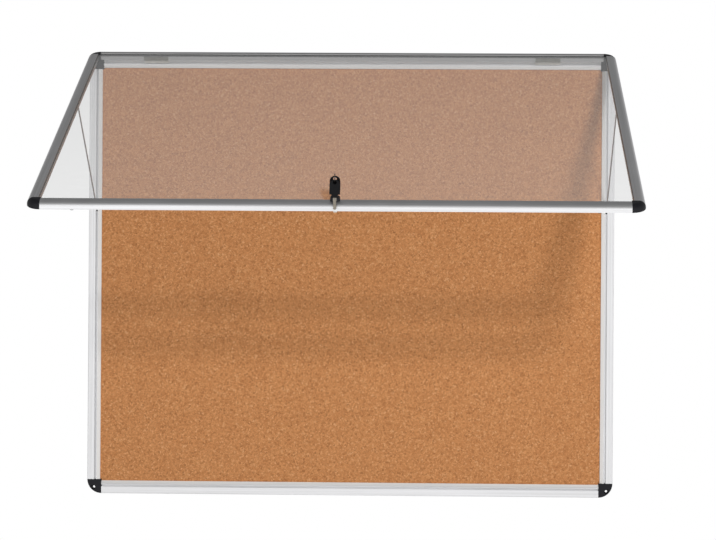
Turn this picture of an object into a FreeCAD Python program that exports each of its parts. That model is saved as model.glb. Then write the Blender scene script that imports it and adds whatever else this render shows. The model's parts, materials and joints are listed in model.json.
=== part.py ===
# Lockable notice board for a wall: a shallow aluminium tray with a cork board in it, and a
# glazed door that is hinged along the top and propped open by two thin rods. The door is
# modelled as it stands open. Millimetres, +X to the reader's right, the reader at -Y, +Z up.
# The origin is on the wall, in the middle of the four wall screws.
#
# Every rail is one extruded section. Its section is drawn in a side frame: the first
# coordinate runs inward from the outer edge, the second forward from the back, and the length
# runs along the side. The side frames are turned a quarter at a time about the board's middle,
# so one set of numbers serves all four sides.
import FreeCAD, Part
import os

import Sketcher

doc = FreeCAD.newDocument("notice_board")
sheet = doc.addObject("Spreadsheet::Sheet", "sizes")


class Size:
    """A length from the sheet, or a sum of such lengths: its number and its formula."""

    def __init__(self, number, formula=None):
        self.number = float(number)
        self.formula = formula or repr(float(number))

    def joined(self, sign, other, number, swap=False):
        left, right = (other, self) if swap else (self, other)
        return Size(number, f"({left.formula} {sign} {right.formula})")

    def __add__(self, other):
        other = as_size(other)
        return self.joined("+", other, self.number + other.number)

    def __radd__(self, other):
        other = as_size(other)
        return self.joined("+", other, other.number + self.number, swap=True)

    def __sub__(self, other):
        other = as_size(other)
        return self.joined("-", other, self.number - other.number)

    def __rsub__(self, other):
        other = as_size(other)
        return self.joined("-", other, other.number - self.number, swap=True)

    def __mul__(self, other):
        other = as_size(other)
        return self.joined("*", other, self.number * other.number)

    def __rmul__(self, other):
        other = as_size(other)
        return self.joined("*", other, other.number * self.number, swap=True)

    def __truediv__(self, other):
        other = as_size(other)
        return self.joined("/", other, self.number / other.number)

    def __neg__(self):
        return Size(-self.number, f"(-{self.formula})")


def as_size(value):
    return value if isinstance(value, Size) else Size(value)


def write_cell(name, text, note):
    write_cell.row += 1
    sheet.set(f"A{write_cell.row}", name)
    sheet.set(f"B{write_cell.row}", text)
    sheet.set(f"C{write_cell.row}", note)
    sheet.setAlias(f"B{write_cell.row}", name)


write_cell.row = 0


def size(name, number, note):
    """A driving dimension."""
    write_cell(name, str(number), note)
    return Size(number, f"sizes.{name}")


def worked_out(name, formula, note):
    """A size that the sheet works out from the driving dimensions."""
    text = formula.formula if isinstance(formula, Size) else formula
    write_cell(name, "=" + text.replace("sizes.", ""), note)
    sheet.recompute()
    return Size(float(sheet.get(name)), f"sizes.{name}")


# Driving dimensions of the tray
board_width = size("board_width", 1160, "over the frame")
board_height = size("board_height", 970, "over the frame")
base_depth = size("base_depth", 24, "wall to the front of the tray")
rail_width = size("rail_width", 28, "front width of a tray rail")
rail_wall = size("rail_wall", 1.6, "wall of the extruded sections")
edge_round = size("edge_round", 1.5, "round of a tray rail's outer front edge")
slot_centre = size("slot_centre", 17.3, "outer edge to the middle of the slot, tray and door")
slot_width = size("slot_width", 4.2, "mouth of the slot, tray and door")
slot_lip = size("slot_lip", 1.8, "thickness of the lips beside the slot")
channel_width = size("channel_width", 7.8, "undercut channel behind the slot")
channel_depth = size("channel_depth", 5.4, "undercut channel behind the slot")
rear_flange = size("rear_flange", 2, "flange behind the backing sheet")
cork_recess = size("cork_recess", 9, "front of the tray to the cork")
panel_stop = size("panel_stop", 20.6, "outer edge to the wall that the panel meets")
lip_flat = size("lip_flat", 1.6, "flat crest of the inner lip")
lip_drop = size("lip_drop", 3.5, "fall of the inner lip towards the cork")

# Driving dimensions of the panel
panel_fit = size("panel_fit", 0.2, "gap round the panel's edge")
cork_thickness = size("cork_thickness", 3, "cork sheet")
backing_thickness = size("backing_thickness", 1, "backing sheet")

# Driving dimensions of the door
open_angle = size("open_angle", 68.3, "opening of the door as modelled, degrees")
door_gap = size("door_gap", 3, "tray to the closed door")
door_depth = size("door_depth", 15, "thickness of a door rail")
door_rail_width = size("door_rail_width", 22, "front width of a door rail")
door_round = size("door_round", 13, "round of a door rail's outer front edge")
groove_depth = size("groove_depth", 6.6, "slot in the back of a door rail")
pane_stop = size("pane_stop", 15, "outer edge to the floor of the pane's groove")
pane_seat = size("pane_seat", 8, "back of the door to the pane's groove")
pane_groove = size("pane_groove", 5, "width of the pane's groove, back to front")
pane_thickness = size("pane_thickness", 3, "acrylic pane")
gasket_wall = size("gasket_wall", 1, "rubber round the pane's edge")

# Driving dimensions of the corner pieces
base_corner_reach = size("base_corner_reach", 31, "outer edges to the inner sides of a tray corner")
door_corner_reach = size("door_corner_reach", 27, "outer edges to the inner sides of a door corner")
tongue_length = size("tongue_length", 30, "tongue that goes into a rail")
tongue_fit = size("tongue_fit", 0.1, "gap round a tongue")
tongue_root = size("tongue_root", 1, "overlap of a tongue and its corner block")
wall_hole_inset = size("wall_hole_inset", 13, "outer edges to a wall screw")
wall_hole_radius = size("wall_hole_radius", 2.75, "clearance hole of a wall screw")
wall_bore_radius = size("wall_bore_radius", 5.2, "counterbore for a wall screw's head")
wall_hole_floor = size("wall_hole_floor", 10, "wall to the counterbore's floor")

# Driving dimensions of the hinges
hinge_inset = size("hinge_inset", 149, "side of the frame to a hinge's middle")
hinge_length = size("hinge_length", 54, "along the axis")
hinge_drop = size("hinge_drop", 4, "top edge to the hinge axis")
barrel_radius = size("barrel_radius", 3, "outside of a knuckle")
hinge_pin_radius = size("hinge_pin_radius", 1.2, "hinge pin")
pin_head_radius = size("pin_head_radius", 2, "head of a hinge pin")
pin_head_height = size("pin_head_height", 0.8, "head of a hinge pin")
running_fit = size("running_fit", 0.05, "radial clearance of a turning fit")
leaf_thickness = size("leaf_thickness", 1.2, "leaf of a hinge")
base_leaf_reach = size("base_leaf_reach", 18, "top edge to the lower end of the fixed leaf")
door_leaf_rise = size("door_leaf_rise", 7.4, "door leaf's flange up the inner wall of the rail")
knuckle_gap = size("knuckle_gap", 0.4, "play between knuckles and round them")
hinge_screw_spacing = size("hinge_screw_spacing", 18, "between screws of one leaf")
hinge_screw_radius = size("hinge_screw_radius", 1.4, "shank")
hinge_screw_head = size("hinge_screw_head", 2.6, "countersunk head, radius")
hinge_screw_length = size("hinge_screw_length", 8, "with its head")
hinge_screw_drop = size("hinge_screw_drop", 10, "top edge to the screws of the fixed leaf")
door_screw_drop = size("door_screw_drop", 11.5, "top edge to the screws of the door leaf")

# Driving dimensions of the stays
stay_drop = size("stay_drop", 340, "hinge axis to the stay's pivot, down the door")
stay_pin_seat = size("stay_pin_seat", 3.2, "back of the door to the pivot pin")
stay_foot_drop = size("stay_foot_drop", 340, "hinge axis to the stay's foot, door open")
stay_foot_depth = size("stay_foot_depth", 4.5, "front of the tray to the foot's middle")
rod_radius = size("rod_radius", 1.5, "stay rod")
eye_radius = size("eye_radius", 3, "flattened eye of the rod")
eye_thickness = size("eye_thickness", 2.6, "flattened eye of the rod")
eye_overlap = size("eye_overlap", 1, "rod inside the rim of its eye")
stay_pin_radius = size("stay_pin_radius", 1.25, "pivot pin")
stay_pin_overhang = size("stay_pin_overhang", 1.2, "pin's end past the web, into the rail")
tip_radius = size("tip_radius", 1.7, "nylon tip on the rod")
tip_length = size("tip_length", 14, "nylon tip on the rod")
stop_length = size("stop_length", 14, "stop block in the channel")
stop_clearance = size("stop_clearance", 4.8, "foot's middle to the stop block above it")
stop_fit = size("stop_fit", 0.1, "gap round the stop block")

# Driving dimensions of the lock and the keys
lock_radius = size("lock_radius", 5.6, "barrel through the rail")
lock_fit = size("lock_fit", 0.1, "gap round the barrel")
lock_tail = size("lock_tail", 2.6, "barrel behind the back of the door")
bezel_radius = size("bezel_radius", 9.5, "flange of the barrel")
bezel_height = size("bezel_height", 8, "flange of the barrel, front of the door outward")
bezel_round = size("bezel_round", 1.5, "front edge of the flange")
nut_radius = size("nut_radius", 8.2, "hexagon nut, over its corners")
nut_height = size("nut_height", 2.2, "hexagon nut")
plug_radius = size("plug_radius", 4.5, "turning plug of the lock")
plug_inset = size("plug_inset", 0.3, "plug's face behind the flange's face")
cam_stem_radius = size("cam_stem_radius", 1.7, "stem through the slot's mouth")
cam_stem_socket = size("cam_stem_socket", 4, "stem inside the plug")
cam_length = size("cam_length", 7, "cross-head that catches behind the slot's lips")
cam_width = size("cam_width", 3.4, "cross-head")
cam_thickness = size("cam_thickness", 3, "cross-head")
cam_play = size("cam_play", 0.3, "cross-head to the lips, door closed")
blade_width = size("blade_width", 6.4, "key blade")
blade_thickness = size("blade_thickness", 2, "key blade")
blade_length = size("blade_length", 22, "key blade outside its grip")
blade_tang = size("blade_tang", 9, "key blade inside its grip")
blade_point = size("blade_point", 2.2, "taper of the blade's end")
keyway_fit = size("keyway_fit", 0.1, "gap round the blade")
key_in = size("key_in", 15.3, "blade inside the lock")
keyway_depth = size("keyway_depth", 16, "keyway in the plug")
grip_width = size("grip_width", 20, "plastic grip of a key")
grip_length = size("grip_length", 28, "plastic grip of a key, without its neck")
grip_thickness = size("grip_thickness", 3, "plastic grip of a key")
neck_width = size("neck_width", 12, "neck of the grip")
neck_length = size("neck_length", 6, "neck of the grip")
grip_web = size("grip_web", 2, "grip's end to the ring's hole")
grip_hole_radius = size("grip_hole_radius", 3.5, "ring's hole")
ring_radius = size("ring_radius", 7.5, "key ring, to the middle of its wire")
ring_wire_radius = size("ring_wire_radius", 0.6, "key ring wire")
ring_web_seat = size("ring_web_seat", 4.75, "ring's middle to the web of the key in the lock")
ring_spare_seat = size("ring_spare_seat", 5.4, "ring's middle to the web of the spare key")

# Driving dimensions of the bumpers
bumper_radius = size("bumper_radius", 4.5, "rubber bumper")
bumper_height = size("bumper_height", 2.6, "rubber bumper")
bumper_inset = size("bumper_inset", 8, "outer edge to a bumper's middle")
bumper_offset = size("bumper_offset", 60, "end of the rail to a bumper's middle")

# What the sheet works out
tray_across = worked_out("tray_across", board_width - 2 * base_corner_reach, "tray rail across")
tray_upright = worked_out("tray_upright", board_height - 2 * base_corner_reach, "tray rail upright")
door_across = worked_out("door_across", board_width - 2 * door_corner_reach, "door rail across")
door_upright = worked_out("door_upright", board_height - 2 * door_corner_reach, "door rail upright")
slot_outer = worked_out("slot_outer", slot_centre - slot_width / 2, "slot's side towards the edge")
slot_inner = worked_out("slot_inner", slot_centre + slot_width / 2, "slot's side towards the cork")
channel_outer = worked_out("channel_outer", slot_centre - channel_width / 2, "channel's outer side")
channel_inner = worked_out("channel_inner", slot_centre + channel_width / 2, "channel's inner side")
lip_back = worked_out("lip_back", base_depth - slot_lip, "wall to the back of the slot's lips")
channel_floor = worked_out("channel_floor", lip_back - channel_depth, "wall to the channel's floor")
panel_front = worked_out("panel_front", base_depth - cork_recess, "wall to the front of the cork")
groove_front = worked_out("groove_front", pane_seat + pane_groove, "door's back to its groove's front")
door_back = worked_out("door_back", base_depth + door_gap, "wall to the back of the closed door")
hinge_forward = worked_out("hinge_forward", door_back - leaf_thickness + barrel_radius,
                           "wall to the hinge axis")
hinge_height = worked_out("hinge_height", board_height / 2 - hinge_drop, "middle to the hinge axis")
lock_front = worked_out("lock_front", door_depth + bezel_height, "back of the door to the lock's face")


# Places. A place is a formula, so that a piece follows the sheet.
def turn(x, y, z, angle):
    """A turn about the axis (x, y, z) through the origin."""
    return (f"create(<<placement>>; create(<<vector>>; 0; 0; 0);"
            f" create(<<rotation>>; create(<<vector>>; {x}; {y}; {z}); {as_size(angle).formula}))")


def shift(x, y, z):
    x, y, z = (as_size(value).formula for value in (x, y, z))
    return (f"create(<<placement>>; create(<<vector>>; {x}; {y}; {z});"
            f" create(<<rotation>>; create(<<vector>>; 0; 0; 1); 0))")


def chain(*places):
    return " * ".join(places)


SIDES = ["bottom", "left", "top", "right"]
CORNERS = ["bottom_left", "top_left", "top_right", "bottom_right"]


def side_frame(side, length, outer, back):
    """The frame of a side: inward from the outer edge, forward from the back, along the side."""
    number = SIDES.index(side)
    return chain(turn(0, 1, 0, 90 * number), shift(-length / 2, -back, -outer / 2), turn(1, 0, 1, 180))


def tray_side(side):
    length, outer = (tray_across, board_height) if side in ("bottom", "top") else (
        tray_upright, board_width)
    return length, side_frame(side, length, outer, as_size(0))


def door_side(side):
    length, outer = (door_across, board_height) if side in ("bottom", "top") else (
        door_upright, board_width)
    return length, side_frame(side, length, outer, door_back)


def corner_frame(corner, width, height, back):
    """The frame of a corner: both outward directions from the inner corner, then forward."""
    number = CORNERS.index(corner)
    first, second = (width, height) if number % 2 == 0 else (height, width)
    return chain(turn(0, 1, 0, 90 * number), shift(-first / 2, -back, -second / 2),
                 turn(0, 1, -1, 180))


# The door and all that rides on it are drawn closed and then swung about the hinge axis.
SWING = chain(shift(0, -hinge_forward, hinge_height), turn(1, 0, 0, -open_angle),
              shift(0, hinge_forward, -hinge_height))

nodes = []


def piece(name, thing, swung=False):
    """Gives a finished sub-part its name and, on the door, the swing of the door."""
    thing.Label = name
    if swung:
        own = [place for path, place in thing.ExpressionEngine if path.strip(".") == "Placement"]
        thing.setExpression("Placement", chain(SWING, *own))
    nodes.append(thing)
    return thing


# Solids. Each takes its sizes from the sheet.
def placed(kind, where, **lengths):
    thing = doc.addObject(kind, kind.split("::")[1].lower())
    for name, value in lengths.items():
        thing.setExpression(name, as_size(value).formula)
    thing.setExpression("Placement", where)
    return thing


def block(where, low, high):
    """A box between two corners, each given as three sizes in the frame where."""
    low, high = [as_size(value) for value in low], [as_size(value) for value in high]
    return placed("Part::Box", chain(where, shift(*low)), Length=high[0] - low[0],
                  Width=high[1] - low[1], Height=high[2] - low[2])


def rod(where, radius, start, end):
    """A cylinder along the third direction of the frame."""
    return placed("Part::Cylinder", chain(where, shift(0, 0, start)), Radius=radius,
                  Height=as_size(end) - start)


def fused(*things):
    if len(things) == 1:
        return things[0]
    thing = doc.addObject("Part::MultiFuse", "fuse")
    thing.Shapes = list(things)
    return thing


def group(*things):
    """Separate solids that share one node."""
    thing = doc.addObject("Part::Compound", "group")
    thing.Links = list(things)
    return thing


def cut(base, *tools):
    thing = doc.addObject("Part::Cut", "cut")
    thing.Base = base
    thing.Tool = fused(*tools)
    return thing


def corners_of(outline):
    return [[as_size(value) for value in point[:2]] for point in outline]


def draw(sketch, outline):
    """Draws a closed outline. A corner is (x, y); (x, y, middle x, middle y) starts an arc
    about that middle, run anticlockwise to the next corner, and (x, y, mx, my, -1) a
    clockwise one. Every corner is held by its distances from the origin."""
    ends = corners_of(outline)
    first = sketch.GeometryCount
    for number, point in enumerate(outline):
        start, end = ends[number], ends[(number + 1) % len(ends)]
        start_point = FreeCAD.Vector(start[0].number, start[1].number, 0)
        end_point = FreeCAD.Vector(end[0].number, end[1].number, 0)
        if len(point) == 2:
            sketch.addGeometry(Part.LineSegment(start_point, end_point))
            continue
        middle = FreeCAD.Vector(as_size(point[2]).number, as_size(point[3]).number, 0)
        anticlockwise = len(point) == 4
        low, high = (start_point, end_point) if anticlockwise else (end_point, start_point)
        circle = Part.Circle(middle, FreeCAD.Vector(0, 0, 1), (low - middle).Length)
        sketch.addGeometry(Part.ArcOfCircle(circle, circle.parameter(low), circle.parameter(high)))
    for number, point in enumerate(outline):
        following = (number + 1) % len(ends)
        here = 2 if len(point) == 5 else 1
        there = 1 if len(point) == 5 else 2
        next_start = 2 if len(outline[following]) == 5 else 1
        sketch.addConstraint(Sketcher.Constraint("Coincident", first + number, there,
                                                 first + following, next_start))
        for kind, value in zip(("DistanceX", "DistanceY"), ends[number]):
            hold(sketch, kind, first + number, here, value)
        if len(point) > 2:
            run = [abs(a.number - b.number) for a, b in zip(ends[number], ends[following])]
            kind, value = ("DistanceX", point[2]) if run[1] >= run[0] else ("DistanceY", point[3])
            hold(sketch, kind, first + number, 3, as_size(value))


def hold(sketch, kind, geometry, place, value):
    constraint = sketch.addConstraint(Sketcher.Constraint(kind, -1, 1, geometry, place, value.number))
    sketch.setExpression(f"Constraints[{constraint}]", value.formula)


def sketched_body(name, plane, outlines):
    body = doc.addObject("PartDesign::Body", name)
    sketch = body.newObject("Sketcher::SketchObject", name + "_section")
    face = next(item for item in body.Origin.OriginFeatures if item.Role == plane)
    sketch.AttachmentSupport = [(face, "")]
    sketch.MapMode = "FlatFace"
    for outline in outlines:
        draw(sketch, outline)
    return body, sketch


def extruded(name, where, outlines, length):
    """A body padded from a section in the first two directions along the third."""
    body, sketch = sketched_body(name, "XY_Plane", outlines)
    pad = body.newObject("PartDesign::Pad", name + "_pad")
    pad.Profile = sketch
    pad.setExpression("Length", as_size(length).formula)
    body.setExpression("Placement", where)
    return body


def revolved(name, where, outline, angle):
    """A body turned about the third direction, from a section of radius and height."""
    body, sketch = sketched_body(name, "XZ_Plane", [outline])
    solid = body.newObject("PartDesign::Revolution", name + "_turn")
    solid.Profile = sketch
    solid.ReferenceAxis = (sketch, ["V_Axis"])
    solid.Angle = angle
    body.setExpression("Placement", where)
    return body


# The sections of the rails
def tray_section():
    outside = [
        (0, 0), (rail_width, 0), (rail_width, rear_flange), (panel_stop, rear_flange),
        (panel_stop, panel_front), (rail_width, panel_front), (rail_width, base_depth - lip_drop),
        (slot_inner + lip_flat, base_depth), (slot_inner, base_depth), (slot_inner, lip_back),
        (channel_inner, lip_back), (channel_inner, channel_floor), (channel_outer, channel_floor),
        (channel_outer, lip_back), (slot_outer, lip_back), (slot_outer, base_depth),
        (edge_round, base_depth, edge_round, base_depth - edge_round), (0, base_depth - edge_round)]
    front_hollow = [
        (rail_wall, channel_floor), (channel_outer - rail_wall, channel_floor),
        (channel_outer - rail_wall, base_depth - rail_wall), (rail_wall, base_depth - rail_wall)]
    return [outside, tray_hollow(as_size(0)), front_hollow]


def tray_hollow(margin):
    """The rear hollow of a tray rail, or with a margin the section of a tongue in it."""
    low, high = rail_wall + margin, channel_floor - rail_wall - margin
    far = panel_stop - rail_wall - margin
    return [(low, low), (far, low), (far, high), (low, high)]


def door_section():
    middle = (door_round, door_depth - door_round)
    outside = [
        (0, 0), (slot_outer, 0), (slot_outer, groove_depth), (slot_inner, groove_depth),
        (slot_inner, 0), (door_rail_width, 0), (door_rail_width, pane_seat), (pane_stop, pane_seat),
        (pane_stop, groove_front), (door_rail_width, groove_front),
        (door_rail_width, door_depth), (door_round, door_depth, *middle),
        (0, door_depth - door_round)]
    return [outside, door_hollow(as_size(0))]


def door_hollow(margin):
    """The hollow of a door rail, or with a margin the section of a tongue in it."""
    gap = rail_wall + margin
    middle = (door_round, door_depth - door_round)
    return [
        (gap, gap), (pane_stop - gap, gap), (pane_stop - gap, door_depth - gap),
        (door_round, door_depth - gap, *middle), (gap, door_depth - door_round)]


def rail(name, side_of, side, section):
    length, where = side_of(side)
    return extruded(name, where, section, length)


def tongues(name, corner, side_of, section):
    """The two tongues of a corner piece, one in each rail that it joins."""
    number = CORNERS.index(corner)
    solids = []
    for side, at_start in ((SIDES[number], True), (SIDES[(number + 1) % 4], False)):
        length, where = side_of(side)
        start = -tongue_root if at_start else length - tongue_length
        solids.append(extruded(f"{name}_{side}", chain(where, shift(0, 0, start)), [section],
                               tongue_length + tongue_root))
    return solids


# The tray
def tray_corner(corner):
    """A moulded quarter-round block with two tongues, a seat for the panel's corner and a
    counterbored hole for a wall screw."""
    name = f"base_corner_{corner}"
    where = corner_frame(corner, tray_across, tray_upright, as_size(0))
    reach = base_corner_reach
    outline = [
        (0, 0), (reach, 0),
        (reach, base_depth - edge_round, reach - edge_round, base_depth - edge_round),
        (reach - edge_round, base_depth), (0, base_depth)]
    quarter = revolved(name + "_block", where, outline, 90)
    seat = reach - panel_stop
    panel_seat = block(where, (0, 0, rear_flange), (seat, seat, panel_front))
    inset = reach - wall_hole_inset
    hole_frame = chain(where, shift(inset, inset, 0))
    hole = rod(hole_frame, wall_hole_radius, as_size(0), base_depth)
    bore = rod(hole_frame, wall_bore_radius, wall_hole_floor, base_depth)
    solid = fused(quarter, *tongues(name, corner, tray_side, tray_hollow(tongue_fit)))
    return piece(name, cut(solid, panel_seat, hole, bore))


def panel_sheet(name, back, front):
    """One layer of the panel, its edges in the grooves of the rails."""
    half_width = board_width / 2 - panel_stop - panel_fit
    half_height = board_height / 2 - panel_stop - panel_fit
    return piece(name, block(shift(0, 0, 0), (-half_width, -front, -half_height),
                             (half_width, -back, half_height)))


# The hinges. Their frame is the top side's: down from the top edge, forward from the wall,
# and then along the hinge, from its middle.
HINGES = ("left", "right")
FIXED_KNUCKLES = (-2, 0, 2)
DOOR_KNUCKLES = (-1, 1)


def hinge_frame(hand):
    length, where = tray_side("top")
    along = hinge_inset - base_corner_reach
    return chain(where, shift(0, 0, along if hand == "right" else length - along))


def barrel(where, knuckles):
    """Knuckles of one leaf, by their places counted from the hinge's middle."""
    span = hinge_length / 5
    axis = chain(where, shift(hinge_drop, hinge_forward, 0))
    return [rod(axis, barrel_radius, span * (place - 0.5) + knuckle_gap / 2,
                span * (place + 0.5) - knuckle_gap / 2) for place in knuckles]


def tabs(where, knuckles, low, high):
    """Strips from a leaf to its knuckles, between two corners of the section."""
    span = hinge_length / 5
    return [block(where, (*low, span * (place - 0.5) + knuckle_gap / 2),
                  (*high, span * (place + 0.5) - knuckle_gap / 2)) for place in knuckles]


def pin_bore(where):
    return rod(chain(where, shift(hinge_drop, hinge_forward, 0)), hinge_pin_radius + running_fit,
               -hinge_length, hinge_length)


def hinge_screws(where, drop, face, way):
    """Three countersunk screws: drop from the top edge, heads flush with the face, pointing
    forward (1) or back (-1)."""
    solids = []
    for place in (-1, 0, 1):
        at = chain(where, shift(drop, face, place * hinge_screw_spacing), turn(1, 0, 0, -90 * way))
        head = placed("Part::Cone", at, Radius1=hinge_screw_head, Radius2=hinge_screw_radius,
                      Height=leaf_thickness)
        solids.append(fused(head, rod(at, hinge_screw_radius, leaf_thickness, hinge_screw_length)))
    return solids


def fixed_leaf(hand, screws):
    """A leaf on the face of the tray's top rail, bent forward over the gap to its knuckles."""
    where = hinge_frame(hand)
    half = hinge_length / 2
    top = hinge_drop - barrel_radius
    plate = block(where, (top, base_depth, -half),
                  (base_leaf_reach, base_depth + leaf_thickness, half))
    reach = tabs(where, FIXED_KNUCKLES, (top, base_depth), (top + leaf_thickness, hinge_forward))
    solid = fused(plate, *reach, *barrel(where, FIXED_KNUCKLES))
    return piece(f"hinge_fixed_leaf_{hand}", cut(solid, pin_bore(where), *screws))


def door_leaf(hand, screws):
    """A leaf behind the door's top rail that turns up its inner wall."""
    where = hinge_frame(hand)
    half = hinge_length / 2
    back = door_back - leaf_thickness
    clear = hinge_drop + barrel_radius + knuckle_gap
    plate = block(where, (clear, back, -half), (door_rail_width + leaf_thickness, door_back, half))
    flange = block(where, (door_rail_width, back, -half),
                   (door_rail_width + leaf_thickness, door_back + door_leaf_rise, half))
    reach = tabs(where, DOOR_KNUCKLES, (hinge_drop, back), (clear, door_back))
    solid = fused(plate, flange, *reach, *barrel(where, DOOR_KNUCKLES))
    return piece(f"hinge_door_leaf_{hand}", cut(solid, pin_bore(where), *screws), swung=True)


def hinge_pin(hand):
    axis = chain(hinge_frame(hand), shift(hinge_drop, hinge_forward, 0))
    end = hinge_length / 2 - knuckle_gap / 2
    shaft = rod(axis, hinge_pin_radius, -end, end)
    heads = [rod(axis, pin_head_radius, end, end + pin_head_height),
             rod(axis, pin_head_radius, -end - pin_head_height, -end)]
    return piece(f"hinge_pin_{hand}", fused(shaft, *heads))


def hinge_notch(hand):
    """The room in the door's top rail for the knuckles, open at the top and the back."""
    reach = barrel_radius + 2 * knuckle_gap
    half = hinge_length / 2 + pin_head_height + knuckle_gap
    return block(hinge_frame(hand), (-door_gap, base_depth, -half),
                 (hinge_drop + reach, hinge_forward + reach, half))


# The stays. A stay's own frame has its eye at the origin and its rod along -Z.
STAYS = {"left": -1, "right": 1}
pivot_down = worked_out("pivot_down", f"stay_drop * cos(open_angle) - (door_back + stay_pin_seat"
                        f" - hinge_forward) * sin(open_angle)", "hinge axis down to the open pivot")
pivot_out = worked_out("pivot_out", f"hinge_forward + stay_drop * sin(open_angle) + (door_back"
                       f" + stay_pin_seat - hinge_forward) * cos(open_angle)",
                       "wall out to the open pivot")
foot_out = worked_out("foot_out", base_depth - stay_foot_depth, "wall out to the foot")
stay_length = worked_out("stay_length", "sqrt((pivot_out - foot_out) ^ 2 + (stay_foot_drop"
                         " - pivot_down) ^ 2)", "pivot to the foot's middle")
stay_lean = worked_out("stay_lean", "atan((pivot_out - foot_out) / (stay_foot_drop - pivot_down))",
                       "open stay from upright, degrees")


def stay_x(hand):
    return STAYS[hand] * (board_width / 2 - slot_centre)


def stay_pin_frame(hand):
    """The closed pivot's frame: across the slot, along the pin."""
    return chain(shift(stay_x(hand), -door_back - stay_pin_seat, hinge_height - stay_drop),
                 turn(0, 1, 0, -90 * STAYS[hand]))


def pin_hole(hand):
    """The hole through the webs beside the slot, which the pin fills."""
    web = slot_width / 2 + rail_wall
    return rod(stay_pin_frame(hand), stay_pin_radius, -web - stay_pin_overhang, web - tongue_fit)


def stay_pin(hand):
    return piece(f"stay_pivot_pin_{hand}", pin_hole(hand), swung=True)


def stay(hand):
    where = chain(shift(stay_x(hand), -pivot_out, hinge_height - pivot_down), turn(1, 0, 0, stay_lean))
    across = chain(where, turn(0, 1, 0, 90))
    down = chain(where, turn(1, 0, 0, 180))
    eye = rod(across, eye_radius, -eye_thickness / 2, eye_thickness / 2)
    bore = rod(across, stay_pin_radius + running_fit, -eye_radius, eye_radius)
    bar = rod(down, rod_radius, eye_radius - eye_overlap, stay_length)
    piece(f"stay_rod_{hand}", cut(fused(eye, bar), bore))
    sleeve = rod(down, tip_radius, stay_length - tip_length, stay_length)
    ball = placed("Part::Sphere", chain(down, shift(0, 0, stay_length)), Radius=tip_radius)
    socket = rod(down, rod_radius, as_size(0), stay_length)
    piece(f"stay_tip_{hand}", cut(fused(sleeve, ball), socket))


def stay_stop(hand):
    """A block in the channel above the open foot. The foot comes to rest under it."""
    length, where = tray_side(hand)
    foot = board_height / 2 - (hinge_height - stay_foot_drop) - base_corner_reach
    low, high = foot - stop_clearance - stop_length, foot - stop_clearance
    start, end = (low, high) if hand == "left" else (length - high, length - low)
    return piece(f"stay_stop_{hand}", block(
        where, (channel_outer + stop_fit, channel_floor, start),
        (channel_inner - stop_fit, lip_back - stop_fit, end)))


# The lock. Its frame stands on the back of the door's bottom rail, on the slot's middle line:
# across the board, down the board, forward.
LOCK = chain(shift(0, -door_back, -board_height / 2 + slot_centre), turn(1, 0, 0, 90),
             turn(0, 0, 1, 180))


def lock_barrel():
    bore = plug_radius + running_fit
    outline = [
        (bore, -lock_tail), (lock_radius, -lock_tail), (lock_radius, door_depth),
        (bezel_radius, door_depth),
        (bezel_radius, lock_front - bezel_round, bezel_radius - bezel_round, lock_front - bezel_round),
        (bezel_radius - bezel_round, lock_front), (bore, lock_front)]
    return piece("lock_barrel", revolved("lock_barrel_body", LOCK, outline, 360), swung=True)


def lock_nut():
    hexagon = placed("Part::Prism", chain(LOCK, shift(0, 0, -nut_height)), Circumradius=nut_radius,
                     Height=nut_height)
    hexagon.Polygon = 6
    thread = rod(LOCK, lock_radius, -nut_height, as_size(0))
    return piece("lock_nut", cut(hexagon, thread), swung=True)


def lock_plug():
    body = rod(LOCK, plug_radius, -lock_tail, lock_front - plug_inset)
    half = (blade_width / 2 + keyway_fit, blade_thickness / 2 + keyway_fit)
    keyway = block(LOCK, (-half[0], -half[1], lock_front - keyway_depth), (*half, lock_front))
    socket = rod(LOCK, cam_stem_radius, -lock_tail, -lock_tail + cam_stem_socket)
    return piece("lock_plug", cut(body, keyway, socket), swung=True)


def lock_cam():
    """A cross-head on a stem: it enters the slot lengthwise, and a quarter turn catches it."""
    top = lip_back - cam_play - door_back
    stem = rod(LOCK, cam_stem_radius, top - cam_thickness, -lock_tail + cam_stem_socket)
    head = block(LOCK, (-cam_length / 2, -cam_width / 2, top - cam_thickness),
                 (cam_length / 2, cam_width / 2, top))
    return piece("lock_cam", fused(stem, head), swung=True)


# The keys. A key's frame has its middle line along the third direction, the grip's end
# highest, and its width along the first.
def key_frame_at(end):
    """The frame of a key whose grip ends at the given height above the lock's back."""
    return chain(LOCK, shift(0, 0, end))


grip_end = worked_out("grip_end", lock_front - key_in + blade_length + neck_length + grip_length,
                      "back of the door to the end of the grip")


def key_blade(name, where, swung):
    """A flat blade, its end tapered, with a tang inside the grip. Drawn from the grip down."""
    top = -grip_length - neck_length
    half = blade_width / 2
    tip = top - blade_length
    outline = [(-half, tip + blade_point), (-half + blade_point, tip), (half - blade_point, tip),
               (half, tip + blade_point), (half, top + blade_tang), (-half, top + blade_tang)]
    flat = chain(where, shift(0, blade_thickness / 2, 0), turn(1, 0, 0, 90))
    return piece(name, extruded(name + "_body", flat, [outline], blade_thickness), swung)


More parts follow.
